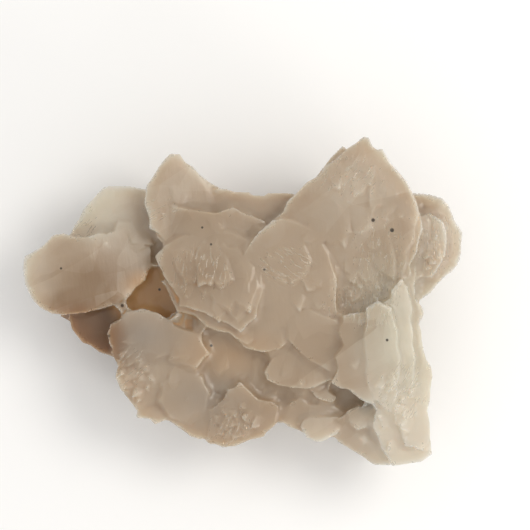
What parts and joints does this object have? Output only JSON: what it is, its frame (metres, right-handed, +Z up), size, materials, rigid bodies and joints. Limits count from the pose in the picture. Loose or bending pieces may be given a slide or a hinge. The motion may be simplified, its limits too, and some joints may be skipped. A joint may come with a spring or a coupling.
{
  "type": "bladed selenite crystal cluster",
  "caption": "Intergrown cluster of milky selenite blades, fanning out of a low massive core and lying on the flat break where it left its rock; a palm-sized display mineral.",
  "frame": {"origin": "middle of the bounding box in plan, at the flat broken foot that the cluster lies on", "axes": "+X along the longest extent, from the low left lobe to the bright right-hand blades; +Y towards the tallest blade's apex; +Z up out of the foot, the way the big blade faces look"},
  "size_m": [0.11, 0.0822, 0.0373],
  "materials": {
    "milky_selenite": "satin"
  },
  "bodies": {
    "root": {"crystal_cluster": "milky_selenite"}
  },
  "joints": []
}
